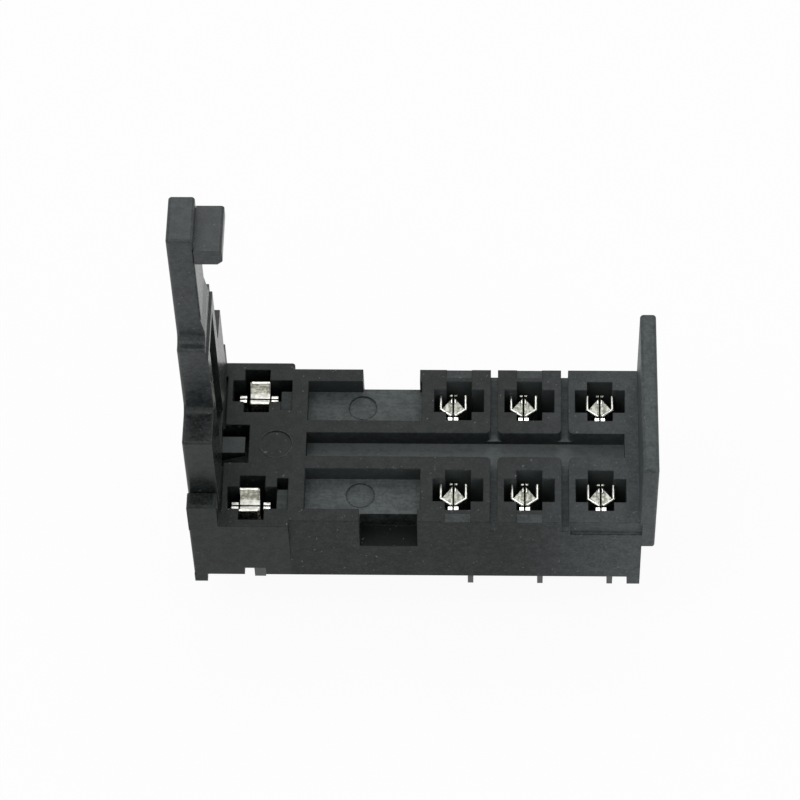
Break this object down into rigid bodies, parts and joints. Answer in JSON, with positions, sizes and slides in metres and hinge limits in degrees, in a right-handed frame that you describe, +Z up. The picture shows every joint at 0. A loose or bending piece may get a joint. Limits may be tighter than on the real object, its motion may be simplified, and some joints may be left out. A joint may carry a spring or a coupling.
{
  "type": "relay socket",
  "caption": "Board-mount socket for a plug-in relay, with folded fork contacts in cross-shaped cells and a hinged lever that holds the relay down and lifts it out.",
  "frame": {"origin": "middle of the housing's length and width, on the plane where the feet stand on the circuit board", "axes": "+X from the lever to the end wall, +Y across the socket, +Z up from the board to the relay"},
  "size_m": [0.0324, 0.0138, 0.0377],
  "materials": {
    "moulding": "satin, fine grain",
    "lever": "satin, fine grain",
    "contact_metal": "plated sheet metal, slightly warm"
  },
  "bodies": {
    "socket": {"housing": "moulding", "rear_contact_1": "contact_metal", "rear_contact_2": "contact_metal", "rear_contact_3": "contact_metal", "front_contact_1": "contact_metal", "front_contact_2": "contact_metal", "front_contact_3": "contact_metal", "rear_coil_contact": "contact_metal", "front_coil_contact": "contact_metal"},
    "lever": {"retaining_lever": "lever"}
  },
  "joints": [
    {"name": "lever_tilt", "type": "hinge", "parent": "socket", "child": "lever", "pos_m": [-0.01515, 0, 0.0079], "axis": [0, -1, 0], "range_deg": [0, 24]}
  ]
}
